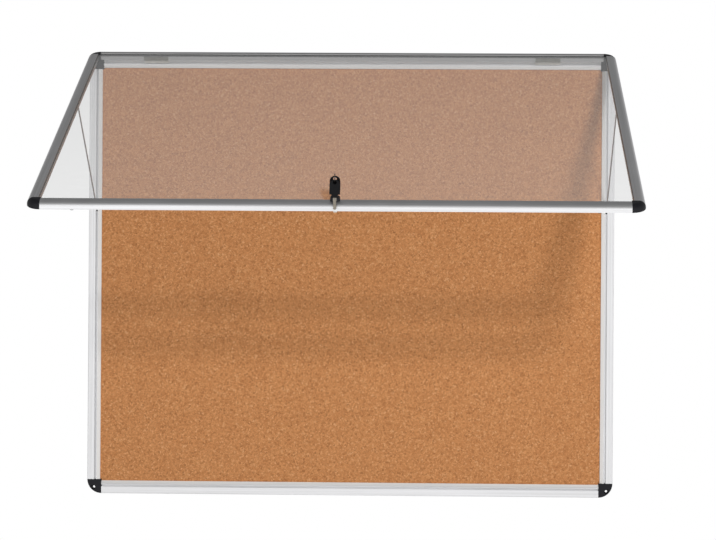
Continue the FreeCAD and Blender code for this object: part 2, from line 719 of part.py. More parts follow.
def key_grip(name, where, swung):
    """A flat plastic grip with a half-round end, a narrow neck and a hole for the ring."""
    half, neck = grip_width / 2, neck_width / 2
    low = -grip_length
    outline = [
        (-neck, low - neck_length), (neck, low - neck_length), (neck, low), (half, low),
        (half, -half, 0, -half), (-half, -half), (-half, low), (-neck, low)]
    flat = chain(where, shift(0, grip_thickness / 2, 0), turn(1, 0, 0, 90))
    plate = extruded(name + "_body", flat, [outline], grip_thickness)
    hole_frame = chain(where, shift(0, 0, -grip_web - grip_hole_radius), turn(1, 0, 0, 90))
    hole = rod(hole_frame, grip_hole_radius, -grip_thickness, grip_thickness)
    tang_top = low - neck_length + blade_tang
    tang = block(where, (-blade_width / 2, -blade_thickness / 2, low - neck_length),
                 (blade_width / 2, blade_thickness / 2, tang_top))
    return piece(name, cut(plate, hole, tang), swung)


# The ring's middle, first with the door closed and then with the door open.
ring_out = worked_out("ring_out", door_back + grip_end - grip_web / 2, "wall to the ring, closed")
ring_low = worked_out("ring_low", board_height / 2 - slot_centre + ring_web_seat,
                      "middle down to the ring, closed")
ring_open_out = worked_out(
    "ring_open_out", "hinge_forward + (ring_out - hinge_forward) * cos(open_angle)"
    " + (hinge_height + ring_low) * sin(open_angle)", "wall to the ring, open")
ring_open_low = worked_out(
    "ring_open_low", "(hinge_height + ring_low) * cos(open_angle)"
    " - (ring_out - hinge_forward) * sin(open_angle) - hinge_height", "middle down to the ring, open")
RING = shift(0, -ring_open_out, -ring_open_low)
SPARE = chain(RING, shift(0, 0, -ring_spare_seat + grip_web / 2))


def key_ring():
    return piece("key_ring", placed("Part::Torus", chain(RING, turn(0, 1, 0, 90)),
                                    Radius1=ring_radius, Radius2=ring_wire_radius))


def make_tray():
    screws = [hinge_screws(hinge_frame(hand), hinge_screw_drop, base_depth + leaf_thickness, -1)
              for hand in HINGES]
    for side in SIDES:
        solid = rail(f"base_rail_{side}_body", tray_side, side, tray_section())
        piece(f"base_rail_{side}", cut(solid, *screws[0], *screws[1]) if side == "top" else solid)
    for corner in CORNERS:
        tray_corner(corner)
    cork_back = panel_front - cork_thickness
    backing_front = rear_flange + backing_thickness
    panel_sheet("backing_sheet", rear_flange, backing_front)
    panel_sheet("softboard_core", backing_front, cork_back)
    panel_sheet("cork_sheet", cork_back, panel_front)
    for hand, own_screws in zip(HINGES, screws):
        fixed_leaf(hand, own_screws)
        hinge_pin(hand)
    piece("hinge_screws_fixed", group(*screws[0], *screws[1]))
    for hand in STAYS:
        stay_stop(hand)


def door_corner(corner):
    """A moulded quarter block that carries the rails' rounded edge round the corner."""
    name = f"door_corner_{corner}"
    where = corner_frame(corner, door_across, door_upright, door_back)
    across = door_corner_reach - door_round
    outline = [(0, 0), (door_corner_reach, 0),
               (door_corner_reach, door_depth - door_round, across, door_depth - door_round),
               (across, door_depth), (0, door_depth)]
    quarter = revolved(name + "_block", where, outline, 90)
    seat = door_corner_reach - pane_stop
    gasket_seat = block(where, (0, 0, pane_seat), (seat, seat, groove_front))
    solid = fused(quarter, *tongues(name, corner, door_side, door_hollow(tongue_fit)))
    return piece(name, cut(solid, gasket_seat), swung=True)


def door_sheet(name, edge, back, front, *tools):
    """A flat frame-sized sheet of the door between two depths, less the tools."""
    half_width, half_height = board_width / 2 - edge, board_height / 2 - edge
    sheet_block = block(shift(0, 0, 0), (-half_width, -door_back - front, -half_height),
                        (half_width, -door_back - back, half_height))
    return cut(sheet_block, *tools) if tools else sheet_block


def make_door():
    screws = [hinge_screws(hinge_frame(hand), door_screw_drop, door_back - leaf_thickness, 1)
              for hand in HINGES]
    for hand in STAYS:
        stay_pin(hand)
    lock_hole = rod(LOCK, lock_radius + lock_fit, -lock_tail, door_depth + lock_tail)
    notches = [hinge_notch(hand) for hand in HINGES]
    for side in SIDES:
        tools = {"top": [*screws[0], *screws[1], *notches], "bottom": [lock_hole],
                 "left": [pin_hole("left")], "right": [pin_hole("right")]}[side]
        solid = rail(f"door_rail_{side}_body", door_side, side, door_section())
        piece(f"door_rail_{side}", cut(solid, *tools), swung=True)
    for corner in CORNERS:
        door_corner(corner)
    pane_back = groove_front - gasket_wall - pane_thickness
    pane_edge = pane_stop + gasket_wall
    room = door_sheet("pane_room", pane_edge, pane_back, pane_back + pane_thickness)
    window = door_sheet("window", door_rail_width, pane_seat, groove_front)
    pane = door_sheet("pane", pane_edge, pane_back, pane_back + pane_thickness, lock_hole)
    piece("acrylic_pane", pane, swung=True)
    gasket = door_sheet("gasket", pane_stop, pane_seat, groove_front, window, room,
                        lock_hole)
    piece("pane_gasket", gasket, swung=True)
    for hand, own_screws in zip(HINGES, screws):
        door_leaf(hand, own_screws)
    piece("hinge_screws_door", group(*screws[0], *screws[1]), swung=True)
    length, where = door_side("bottom")
    bumpers = [placed("Part::Cylinder", chain(where, shift(bumper_inset, 0, along), turn(1, 0, 0, 90)),
                      Radius=bumper_radius, Height=bumper_height)
               for along in (bumper_offset, length - bumper_offset)]
    piece("door_bumpers", group(*bumpers), swung=True)


def make_lock():
    lock_barrel()
    lock_nut()
    lock_plug()
    lock_cam()
    key_blade("key_blade", key_frame_at(grip_end), True)
    key_grip("key_grip", key_frame_at(grip_end), True)
    key_ring()
    key_blade("spare_key_blade", SPARE, False)
    key_grip("spare_key_grip", SPARE, False)


make_tray()
make_door()
for hand in STAYS:
    stay(hand)
make_lock()
doc.recompute()

for thing in doc.Objects:
    if "Invalid" in thing.State or "Error" in thing.State:
        raise RuntimeError(f"{thing.Label} did not build: {thing.State}")
os.makedirs("parts", exist_ok=True)
for node in nodes:
    if node.Shape.isNull() or not node.Shape.isValid():
        raise RuntimeError(f"{node.Label} has no valid shape")
    node.Shape.exportStep(f"parts/{node.Label}.step")
print(f"{len(nodes)} nodes, stay {stay_length.number:.3f} mm, lean {stay_lean.number:.4f} degrees")
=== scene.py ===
# %% [markdown]
# A lockable notice board: a shallow aluminium tray with a cork panel, and a glazed door that
# is hinged along the top and stands propped open on two thin rods. The shapes come from the
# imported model. This script gives each piece its finish, adds the small forms that the model
# leaves out, and sets up the light and the camera.
#
# The first cell loads the model. Its pieces are already in place, in metres, with X to the
# reader's right, the reader at -Y and the wall at Y = 0.

import json
import math

import bmesh
import bpy
from mathutils import Matrix, Vector

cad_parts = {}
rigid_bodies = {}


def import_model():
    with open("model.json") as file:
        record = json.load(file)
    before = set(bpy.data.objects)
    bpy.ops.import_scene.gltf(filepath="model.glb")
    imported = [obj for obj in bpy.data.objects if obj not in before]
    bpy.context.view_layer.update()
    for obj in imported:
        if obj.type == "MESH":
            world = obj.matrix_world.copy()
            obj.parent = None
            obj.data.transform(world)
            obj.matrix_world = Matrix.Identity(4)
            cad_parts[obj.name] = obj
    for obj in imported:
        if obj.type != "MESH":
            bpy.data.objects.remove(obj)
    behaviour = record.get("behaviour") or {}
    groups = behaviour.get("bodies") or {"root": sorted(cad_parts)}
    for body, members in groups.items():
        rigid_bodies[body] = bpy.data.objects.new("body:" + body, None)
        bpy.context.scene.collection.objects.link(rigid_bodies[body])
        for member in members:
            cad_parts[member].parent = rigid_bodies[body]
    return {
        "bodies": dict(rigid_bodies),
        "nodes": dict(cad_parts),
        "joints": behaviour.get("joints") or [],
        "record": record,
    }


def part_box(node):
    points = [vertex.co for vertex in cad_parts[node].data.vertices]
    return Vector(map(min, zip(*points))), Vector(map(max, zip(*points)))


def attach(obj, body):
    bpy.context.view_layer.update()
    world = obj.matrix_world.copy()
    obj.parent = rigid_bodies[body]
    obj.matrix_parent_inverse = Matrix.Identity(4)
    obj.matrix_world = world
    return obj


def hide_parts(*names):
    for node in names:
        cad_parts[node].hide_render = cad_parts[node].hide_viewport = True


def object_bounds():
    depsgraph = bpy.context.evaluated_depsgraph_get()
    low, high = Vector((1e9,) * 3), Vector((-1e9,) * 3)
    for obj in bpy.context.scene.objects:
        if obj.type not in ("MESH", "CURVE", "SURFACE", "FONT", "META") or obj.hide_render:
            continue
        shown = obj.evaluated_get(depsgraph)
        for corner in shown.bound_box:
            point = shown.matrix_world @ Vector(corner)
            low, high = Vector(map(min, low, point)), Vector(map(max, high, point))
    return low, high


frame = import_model()
cad_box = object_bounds()
nodes = frame["nodes"]
joints = {joint["name"]: joint for joint in frame["joints"]}
MM = 0.001

# %% [markdown]
# Everything on the door is easier to think of in the door's own directions: along X, down
# the door from the hinges to the lock, and outward from its face. The lock's joint turns
# about the door's outward direction, so it tells how far the door stands open.

# %% The door's directions
ALONG_X = Vector((1, 0, 0))
UPRIGHT = Vector((0, 0, 1))
OUTWARD = Vector(joints["lock_turn"]["axis"]).normalized()
DOWN_DOOR = ALONG_X.cross(OUTWARD)
opening = math.degrees(math.atan2(OUTWARD.z, -OUTWARD.y))
print("the door stands open by", round(opening, 1), "degrees, and runs down along", DOWN_DOOR)

# %% [markdown]
# Shader maths reads best as plain Python. The Socket class below wraps one output of a node.
# Adding, subtracting, multiplying or dividing it makes the Math node that does so, and the
# result is again a Socket. So 1 - mask is a node, and reads like the sum that it is.

# %% A socket with arithmetic
class Socket:
    """One output of a shader node."""

    def __init__(self, finish, output):
        self.finish = finish
        self.output = output

    def math(self, operation, first, second):
        return self.finish.add("ShaderNodeMath", {"operation": operation}, {0: first, 1: second})

    def __add__(self, other):
        return self.math("ADD", self, other)

    def __radd__(self, other):
        return self.math("ADD", other, self)

    def __sub__(self, other):
        return self.math("SUBTRACT", self, other)

    def __rsub__(self, other):
        return self.math("SUBTRACT", other, self)

    def __mul__(self, other):
        return self.math("MULTIPLY", self, other)

    def __rmul__(self, other):
        return self.math("MULTIPLY", other, self)

    def __truediv__(self, other):
        return self.math("DIVIDE", self, other)


# %% [markdown]
# A finish is a tree of nodes. Every node in it comes from one method, add, which takes the
# node's type, its settings and the values or links of its inputs. The other methods are short
# names for the nodes that most finishes use. Their sizes are in metres, as on the real board,
# so that a noise is as fine as the thing that it stands for.

# %% A finish under construction
class Finish:
    """The node tree of one material, or of the world."""

    def __init__(self, tree):
        self.tree = tree
        tree.nodes.clear()

    def add(self, kind, settings=None, inputs=None, output=0):
        """A node of a kind, with its settings made first and then its inputs."""
        node = self.tree.nodes.new(kind)
        for key, value in (settings or {}).items():
            if key == "stops":
                self.set_stops(node.color_ramp, value)
            else:
                setattr(node, key, value)
        for key, value in (inputs or {}).items():
            if isinstance(value, Socket):
                self.tree.links.new(value.output, node.inputs[key])
            else:
                node.inputs[key].default_value = value
        return Socket(self, node.outputs[output]) if node.outputs else None

    @staticmethod
    def set_stops(ramp, stops):
        first, *middle, last = stops
        for element, (place, colour) in zip(ramp.elements, (first, last)):
            element.position = place
            element.color = (*colour, 1)
        for place, colour in middle:
            ramp.elements.new(place).color = (*colour, 1)

    def place(self):
        """The surface's point in the piece's own coordinates, in metres."""
        return self.add("ShaderNodeTexCoord", output="Object")

    def vector(self, operation, *inputs, output=0):
        """A Vector Math node on values or links, in the order of its sockets."""
        settings = {"operation": operation}
        return self.add("ShaderNodeVectorMath", settings, dict(enumerate(inputs)), output)

    def dot(self, first, second):
        """How far one vector reaches along another."""
        return self.vector("DOT_PRODUCT", first, second, output="Value")

    def noise(self, size, detail=2.0, place=None, output=0):
        """Noise about 0.5, with features of a size in metres."""
        inputs = {"Vector": place or self.place(), "Scale": 1 / size, "Detail": detail}
        return self.add("ShaderNodeTexNoise", None, inputs, output)

    def cells(self, size, place, feature="F1", output="Distance"):
        """Cells of a size in metres, each round a random point."""
        inputs = {"Vector": place, "Scale": 1 / size}
        return self.add("ShaderNodeTexVoronoi", {"feature": feature}, inputs, output)

    def ramp(self, amount, *stops):
        return self.add("ShaderNodeValToRGB", {"stops": stops}, {"Fac": amount}, "Color")

    def mix(self, amount, first, second):
        """A colour between two colours. Sockets 6 and 7 are the Mix node's colours."""
        first, second = (value if isinstance(value, Socket) else (*value, 1)
                         for value in (first, second))
        return self.add("ShaderNodeMix", {"data_type": "RGBA"}, {0: amount, 6: first, 7: second}, 2)

    def clamped(self, value, low, high):
        """A value mapped so that low gives 0 and high gives 1, and held between them."""
        return self.add("ShaderNodeMapRange", None, {"Value": value, "From Min": low, "From Max": high})

    def bump(self, height, depth):
        """A normal from a height between 0 and 1 that stands for a depth in metres."""
        return self.add("ShaderNodeBump", None, {"Height": height, "Distance": depth})

    def surface(self, **values):
        """The surface shader. An underscore in a name stands for a blank."""
        inputs = {name.replace("_", " "): value for name, value in values.items()}
        colour = inputs.get("Base Color")
        if isinstance(colour, tuple):
            inputs["Base Color"] = (*colour, 1)
        shader = self.add("ShaderNodeBsdfPrincipled", None, inputs)
        self.add("ShaderNodeOutputMaterial", None, {"Surface": shader})


finishes = {}


def new_finish(name):
    """A material to be filled with nodes, kept under its name."""
    material = bpy.data.materials.new(name)
    material.use_nodes = True
    finishes[name] = material
    print("finish", name)
    return Finish(material.node_tree)


# %% [markdown]
# The rails are extruded aluminium, satin anodised. Extrusion and brushing leave very fine
# lines along each rail, so the finish needs to know which way a rail runs. A picture of
# brushed metal would show its seams on pieces this long, so noise gives the lines: its
# coordinates are stretched along the rail, which makes its spots nine centimetres long and
# half a millimetre wide. The same coordinates, stretched four to five times more, give the
# broad streaks of the die. A slow noise adds the cloudiness of a surface that hands touch.

# %% Lines along a rail
LINE_LENGTH = 90 * MM
LINE_WIDTH = 0.6 * MM
SQUARE_ENOUGH = 0.01


def stretched(finish, along):
    """Coordinates in which a noise becomes fine lines that run along a direction."""
    directions = (ALONG_X, OUTWARD.cross(ALONG_X), OUTWARD, UPRIGHT, Vector((0, 1, 0)))
    across, deep = [axis for axis in directions if abs(axis.dot(along)) < SQUARE_ENOUGH][:2]
    parts = [finish.dot(finish.place(), axis / size)
             for axis, size in ((along, LINE_LENGTH), (across, LINE_WIDTH), (deep, LINE_WIDTH))]
    return finish.add("ShaderNodeCombineXYZ", None, dict(enumerate(parts)))


print("lines", LINE_LENGTH, "m long and", LINE_WIDTH, "m wide")

# %% [markdown]
# Two faces of the profiles carry painted light and shade. The sloped lip of the tray, beside
# the cork, is painted matt and almost white, a painted highlight for the bright light that this
# face catches. The door's inner walls, beside the gasket, are painted dull and dark, painted
# shade for the shade that they lie in. Both are found by how far a face looks toward the middle
# of its frame: the dot product of its normal with the arm to the middle is zero on a front
# face, about a quarter of a metre on the lip and half a metre on a wall.

# %% Where the painted highlight and shade go on the inner edges of a frame
EDGE_FADE = 0.06


def middle_of(node):
    """The middle of a node's box."""
    low, high = (Vector(corner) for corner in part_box(node))
    return (low + high) / 2


def painted_edge_mask(finish, middle, reach):
    """1 on the faces that look toward the middle by a reach between two bounds, else 0: the mask of the
    painted highlight and the painted shade.
    """
    normal = finish.add("ShaderNodeTexCoord", output="Normal")
    facing = finish.dot(normal, finish.vector("SUBTRACT", middle, finish.place()))
    begin, end = reach
    low = finish.clamped(facing, begin, begin + EDGE_FADE)
    return low * (1 - finish.clamped(facing, end - EDGE_FADE, end))


BOARD_MIDDLE = middle_of("cork_sheet")
DOOR_MIDDLE = middle_of("acrylic_pane")
print("the middle of the board is", BOARD_MIDDLE, "and of the door", DOOR_MIDDLE)

# %% [markdown]
# The finish itself is bright metal with those lines in its tone, its gloss and, very shallow,
# in its bump. The tray's rails are etched before they are anodised, so they are less metallic
# than the door's. Each finish also gets its painted edge, a painted highlight on the tray's lip
# or painted shade on the door's walls: its colour, how metallic it is and the reach by which
# its faces are found.

# %% Anodised aluminium
STREAK_STRETCH = (0.2, 0.25, 0.25)
STREAK_RANGE = (0.34, 0.66)
LINE_SHARE = 0.3
CLOUD_SIZE = 70 * MM
DULL_BY_CLOUDS = 0.1
UNEVEN_GLOSS = 0.08
LINE_DEPTH = 0.02 * MM
DARK_STREAK = (0.69, 0.69, 0.69)
PALE_STREAK = (0.87, 0.87, 0.89)


def anodised(name, along, metallic, roughness, middle, painted_edge_colour, painted_edge_metallic, painted_edge_reach):
    finish = new_finish(name)
    place = stretched(finish, along)
    lines = finish.noise(1.0, 3.0, place)
    wide = finish.noise(1.0, 3.0, finish.vector("MULTIPLY", place, STREAK_STRETCH))
    streaks = finish.clamped(wide, *STREAK_RANGE)
    clouds = finish.noise(CLOUD_SIZE, 3.0)
    # edge is 1 where the colour is painted: the painted highlight of the tray's lip, or the painted
    # shade of the door's inner walls.
    edge = painted_edge_mask(finish, middle, painted_edge_reach)
    tone = finish.mix(LINE_SHARE * lines + (1 - LINE_SHARE) * streaks, DARK_STREAK, PALE_STREAK)
    finish.surface(
        Base_Color=finish.mix(edge, tone, painted_edge_colour),
        Metallic=metallic - DULL_BY_CLOUDS * clouds - (metallic - painted_edge_metallic) * edge,
        Roughness=roughness + UNEVEN_GLOSS * lines + UNEVEN_GLOSS * clouds,
        Normal=finish.bump(lines, LINE_DEPTH))


LIP_REACH = (0.14, 0.36)
WALL_REACH = (0.3, 0.7)
# The lip's almost white colour is a painted highlight, and the dark colours of the walls are painted
# shade.
LIP_HIGHLIGHT = (BOARD_MIDDLE, (0.88, 0.87, 0.85), 0.05, LIP_REACH)
TOP_WALL_SHADE = (DOOR_MIDDLE, (0.36, 0.36, 0.36), 0.5, WALL_REACH)
SIDE_WALL_SHADE = (DOOR_MIDDLE, (0.16, 0.16, 0.16), 0.2, WALL_REACH)
anodised("tray_aluminium_across", ALONG_X, 0.55, 0.24, *LIP_HIGHLIGHT)
anodised("tray_aluminium_upright", UPRIGHT, 0.55, 0.24, *LIP_HIGHLIGHT)
anodised("door_aluminium_across", ALONG_X, 0.98, 0.26, *TOP_WALL_SHADE)
anodised("door_aluminium_down", DOWN_DOOR, 0.86, 0.26, *SIDE_WALL_SHADE)

# %% [markdown]
# The corner pieces, the grips of the keys and the nylon blocks are moulded plastic. The
# corners have the fine spark texture that hides scratches, which is noise a third of a
# millimetre wide in a bump. The grips are smoother and darker, and the rubber is the dullest.

# %% Moulded plastic and rubber
WEAR_SIZE = 12 * MM
WEAR_ROUGHNESS = 0.12
WORN_GAIN = 1.6
WORN_LIFT = 0.004


def worn(colour):
    """The paler tone of a dark plastic where hands have rubbed it."""
    return tuple(value * WORN_GAIN + WORN_LIFT for value in colour)


def moulded(name, colour, roughness, grain, depth, shine=0.5):
    """A plastic with a grain of a size and a depth, both in metres."""
    finish = new_finish(name)
    texture = finish.noise(grain, 2.0)
    wear = finish.noise(WEAR_SIZE, 4.0)
    finish.surface(
        Base_Color=finish.mix(wear, colour, worn(colour)),
        Roughness=roughness - WEAR_ROUGHNESS / 2 + WEAR_ROUGHNESS * wear,
        Specular_IOR_Level=shine,
        Normal=finish.bump(texture, depth))


moulded("corner_plastic", (0.006, 0.006, 0.008), 0.42, 0.35 * MM, 0.08 * MM, 0.22)
moulded("grip_plastic", (0.003, 0.003, 0.0035), 0.3, 0.6 * MM, 0.02 * MM, 0.1)
moulded("nylon", (0.03, 0.03, 0.03), 0.42, 0.8 * MM, 0.04 * MM)
moulded("black_rubber", (0.014, 0.014, 0.014), 0.75, 0.5 * MM, 0.05 * MM)

# %% [markdown]
# Cork sheet is made of granules one to four millimetres across, pressed together, in tones
# from straw to dark bark. A texture of cells is the natural model: each cell has a random
# value that picks its tone from a colour ramp. Plain cells look like paving, though. So the
# coordinates are bent by a noise first, two sizes of cell are mixed, and the dark resin shows
# only in some of the joints. Flecks of bark and a slow drift of the tone finish it.

# %% Cork
BEND_SIZE = 2.2 * MM
BEND = 2 * MM
COARSE_GRANULE = 3.6 * MM
FINE_GRANULE = 1.5 * MM
GRANULE_TONES = (
    (0.0, (0.28, 0.104, 0.036)), (0.25, (0.53, 0.215, 0.077)), (0.5, (0.67, 0.295, 0.113)),
    (0.75, (0.77, 0.365, 0.147)), (1.0, (0.89, 0.515, 0.26)))
FINE_SHARE = 0.4
JOINT_WIDTH = 0.1
RESIN_PATCH = 5 * MM
RESIN_RANGE = (0.38, 0.62)
RESIN_SHARE = 0.45
RESIN_DEPTH = 0.6
RESIN_TONE = (0.2, 0.07, 0.024)
BARK_FLECK = 1.7 * MM
BARK_RANGE = (0.63, 0.7)
BARK_SHARE = 0.55
BARK_TONE = (0.17, 0.06, 0.022)
DRIFT_SIZE = 60 * MM
DRIFT_SHARE = 0.2
DRIFT_TONE = (0.45, 0.18, 0.065)
CRUMB_SIZE = 0.8 * MM
CRUMB_DEPTH = 0.12 * MM


def cork():
    finish = new_finish("cork")
    wobble = finish.noise(BEND_SIZE, 3.0, output="Color")
    bent = finish.vector("MULTIPLY_ADD", wobble, (BEND,) * 3, finish.place())
    coarse, fine = (finish.ramp(finish.cells(size, bent, output="Color"), *GRANULE_TONES)
                    for size in (COARSE_GRANULE, FINE_GRANULE))
    granules = finish.mix(FINE_SHARE, coarse, fine)
    joint = finish.clamped(finish.cells(COARSE_GRANULE, bent, "DISTANCE_TO_EDGE"), JOINT_WIDTH, 0.0)
    resin = joint * finish.clamped(finish.noise(RESIN_PATCH, 2.0), *RESIN_RANGE)
    jointed = finish.mix(RESIN_SHARE * resin, granules, RESIN_TONE)
    bark = finish.clamped(finish.noise(BARK_FLECK, 3.0, bent), *BARK_RANGE)
    flecked = finish.mix(BARK_SHARE * bark, jointed, BARK_TONE)
    drift = finish.noise(DRIFT_SIZE, 4.0)
    crumbs = finish.noise(CRUMB_SIZE, 3.0)
    finish.surface(
        Base_Color=finish.mix(DRIFT_SHARE * drift, flecked, DRIFT_TONE),
        Roughness=0.82 + 0.12 * crumbs,
        Specular_IOR_Level=0.25,
        Normal=finish.bump(crumbs - RESIN_DEPTH * resin, CRUMB_DEPTH))


cork()

# %% [markdown]
# Behind the cork lie a softboard of pressed fibre and a thin hardboard. Only their back can
# be seen. Both are short fibres in a flat sheet: noise at fibre size gives the colour and the
# bump, with broad patches where the pulp lay thicker. Hardboard is darker and shinier.

# %% Fibre boards
FIBRE_SIZE = 1.6 * MM
FIBRE_SHARE = 0.6
FIBRE_DEPTH = 0.2 * MM
PULP_PATCH = 50 * MM


def fibre_board(name, dark, light, roughness):
    finish = new_finish(name)
    fibres = finish.noise(FIBRE_SIZE, 5.0)
    patches = finish.noise(PULP_PATCH, 2.0)
    finish.surface(
        Base_Color=finish.mix(FIBRE_SHARE * fibres + (1 - FIBRE_SHARE) * patches, dark, light),
        Roughness=roughness,
        Normal=finish.bump(fibres, FIBRE_DEPTH))


fibre_board("softboard", (0.3, 0.2, 0.11), (0.52, 0.38, 0.24), 0.9)
fibre_board("hardboard", (0.07, 0.036, 0.018), (0.2, 0.105, 0.055), 0.55)

# %% [markdown]
# The pane is clear acrylic. At the flat angle of this view it mirrors the room above and
# behind it, which lies over the cork as a grey veil. A thin pane needs no refraction: each
# ray goes straight through or is mirrored, and its angle says how much. Both faces mirror,
# so a single share R becomes 2R / (1 + R). The share is taken on the face that the ray
# enters, and the far face lets it pass. The share drives the shader's alpha, so that light
# passes through the pane too, and its shadow is faint. Dust thickens the veil a little.

# %% Clear acrylic
ACRYLIC_IOR = 1.49
DUST_PATCH = 20 * MM
EVEN_DUST = 0.015
PATCHY_DUST = 0.04


def acrylic():
    finish = new_finish("clear_acrylic")
    single = finish.add("ShaderNodeFresnel", None, {"IOR": ACRYLIC_IOR})
    both = 2 * single / (1 + single)
    inside = finish.add("ShaderNodeNewGeometry", output="Backfacing")
    dust = finish.noise(DUST_PATCH, 5.0)
    finish.surface(
        Base_Color=(0.96, 0.97, 0.97),
        Metallic=0.2,
        Roughness=0.03 + 0.05 * dust,
        Alpha=(both + EVEN_DUST + PATCHY_DUST * dust) * (1 - inside))


acrylic()

# %% [markdown]
# The small metal pieces share one recipe: a metal colour, a turned or drawn texture and a
# few darker spots where the plating is dull. The hinges are zinc-plated steel, so their spots
# are larger. Their fixed leaves are pale. The door's leaves are a darker, olive copy of the same
# plate, which is painted shade for the shade that they lie in.

# %% Small metal pieces
METAL_GRAIN = 0.5 * MM
METAL_GRAIN_DEPTH = 0.004 * MM
SPOT_RANGE = (0.4, 0.75)


def metal(name, colour, spots, roughness, patch=4 * MM, share=0.35):
    """A plated metal, with a share of spots of a size in metres."""
    finish = new_finish(name)
    texture = finish.noise(METAL_GRAIN, 2.0)
    patches = finish.clamped(finish.noise(patch, 4.0), *SPOT_RANGE)
    finish.surface(
        Base_Color=finish.mix(share * patches, colour, spots),
        Metallic=1.0,
        Roughness=roughness + 0.12 * patches + 0.05 * texture,
        Normal=finish.bump(texture, METAL_GRAIN_DEPTH))


metal("hinge_plate", (0.8, 0.78, 0.75), (0.62, 0.6, 0.53), 0.38, 8 * MM, 0.7)
# The same hinge plate in a darker, olive copy: painted shade for the door's leaves.
metal("hinge_plate_painted_shade", (0.2, 0.195, 0.175), (0.13, 0.125, 0.1), 0.42, 8 * MM, 0.7)
metal("screw_steel", (0.62, 0.61, 0.57), (0.35, 0.33, 0.28), 0.28)
metal("stay_steel", (0.3, 0.29, 0.29), (0.13, 0.12, 0.12), 0.3, 10 * MM)
metal("lock_black", (0.045, 0.045, 0.05), (0.02, 0.02, 0.02), 0.32)
metal("lock_nickel", (0.64, 0.62, 0.58), (0.42, 0.4, 0.36), 0.25)
metal("key_nickel", (0.3, 0.27, 0.225), (0.2, 0.175, 0.14), 0.3, 3 * MM)
metal("ring_steel", (0.12, 0.12, 0.12), (0.07, 0.07, 0.07), 0.3)
print(len(finishes), "finishes")

# %% [markdown]
# Real extrusions and mouldings have no razor edges, so most pieces get a Bevel modifier with
# a radius of a few tenths of a millimetre, which catches the light along the edges. Weld
# comes before it, because an imported mesh is split along its sharp edges, and a planar
# Decimate joins the triangles of each flat face, because Bevel needs whole faces. Weighted
# Normal then keeps the flat faces flat in the shading. The meshes themselves aren't changed.

# %% Rounded edges
WELD_DISTANCE = 0.002 * MM
FLAT_ANGLE = math.radians(0.5)
SHARP_ANGLE = math.radians(40)


def soften(piece, radius):
    """Rounds the sharp edges of a piece by a radius in metres."""
    weld = piece.modifiers.new("weld", "WELD")
    weld.merge_threshold = WELD_DISTANCE
    flats = piece.modifiers.new("flats", "DECIMATE")
    flats.decimate_type = "DISSOLVE"
    flats.angle_limit = FLAT_ANGLE
    bevel = piece.modifiers.new("edges", "BEVEL")
    bevel.width = radius
    bevel.segments = 2
    bevel.limit_method = "ANGLE"
    bevel.angle_limit = SHARP_ANGLE
    shade = piece.modifiers.new("shade", "WEIGHTED_NORMAL")
    shade.mode = "FACE_AREA"
    shade.weight = 50


print("edges sharper than", round(math.degrees(SHARP_ANGLE)), "degrees are rounded")

# %% [markdown]
# Each node of the model takes its finish by its name. A row below gives the start of a name,
# the finish and the radius of its edges in millimetres. The first row that fits counts, so a
# longer name comes before a shorter one. A list is easier to read and to change here than
# forty-seven lines of code, because the left and right, upper and lower pieces are alike.

# %% Dress the model's nodes
FINISH_OF = [
    ("base_rail_top", "tray_aluminium_across", 0.2),
    ("base_rail_bottom", "tray_aluminium_across", 0.2),
    ("base_rail", "tray_aluminium_upright", 0.2),
    ("door_rail_top", "door_aluminium_across", 0.2),
    ("door_rail_bottom", "door_aluminium_across", 0.2),
    ("door_rail", "door_aluminium_down", 0.2),
    ("base_corner", "corner_plastic", 0.5), ("door_corner", "corner_plastic", 0.4),
    ("backing_sheet", "hardboard", 0), ("softboard_core", "softboard", 0), ("cork_sheet", "cork", 0),
    ("acrylic_pane", "clear_acrylic", 0), ("pane_gasket", "black_rubber", 0),
    # The door's hinge leaves take the darker copy of the plate, which is painted shade.
    ("hinge_screws", "screw_steel", 0), ("hinge_door", "hinge_plate_painted_shade", 0.15),
    ("hinge", "hinge_plate", 0.15),
    ("stay_rod", "stay_steel", 0), ("stay_pivot_pin", "stay_steel", 0.2),
    ("stay_tip", "nylon", 0), ("stay_stop", "nylon", 0.4), ("door_bumpers", "black_rubber", 0.6),
    ("lock_barrel", "lock_black", 0.2), ("lock", "lock_nickel", 0.15),
    ("key_blade", "key_nickel", 0), ("spare_key_blade", "key_nickel", 0),
    ("key_grip", "grip_plastic", 0.8), ("spare_key_grip", "grip_plastic", 0.8),
    ("key_ring", "ring_steel", 0)]

for name, node in nodes.items():
    _, finish_name, radius = next(row for row in FINISH_OF if name.startswith(row[0]))
    node.data.materials.clear()
    node.data.materials.append(finishes[finish_name])
    if radius:
        soften(node, radius * MM)
print("dressed", len(nodes), "nodes")

# %% [markdown]
# The smallest pieces have forms that the model leaves out: the cross in a screw's head, the
# cuts in a key and the two turns of its ring. Each is built anew over its node. The node says
# where it is and how large it is: span measures a node along any direction. skin lays faces
# between rings of points, which is enough for a shape that is drawn from ring to ring.

# %% Helpers for the small pieces
def span(points, direction):
    """The least and the greatest place of points along a direction, in metres."""
    places = [point.dot(direction) for point in points]
    return min(places), max(places)


def points_of(name):
    """The points of a node, in the model's coordinates."""
    return [vertex.co for vertex in nodes[name].data.vertices]


def stand(origin, out):
    """A frame at a point, its Z along a direction and its X along the board."""
    axes = Matrix((ALONG_X, out.cross(ALONG_X), out)).transposed().to_4x4()
    return Matrix.Translation(origin) @ axes


def skin(shape, frame, rings):
    """Faces between rings that have as many points each. Gives the rings' vertices."""
    made = [[shape.verts.new(frame @ Vector(point)) for point in ring] for ring in rings]
    for low, high in zip(made, made[1:]):
        for at, vertex in enumerate(low):
            after = (at + 1) % len(low)
            shape.faces.new((vertex, low[after], high[after], high[at]))
    return made


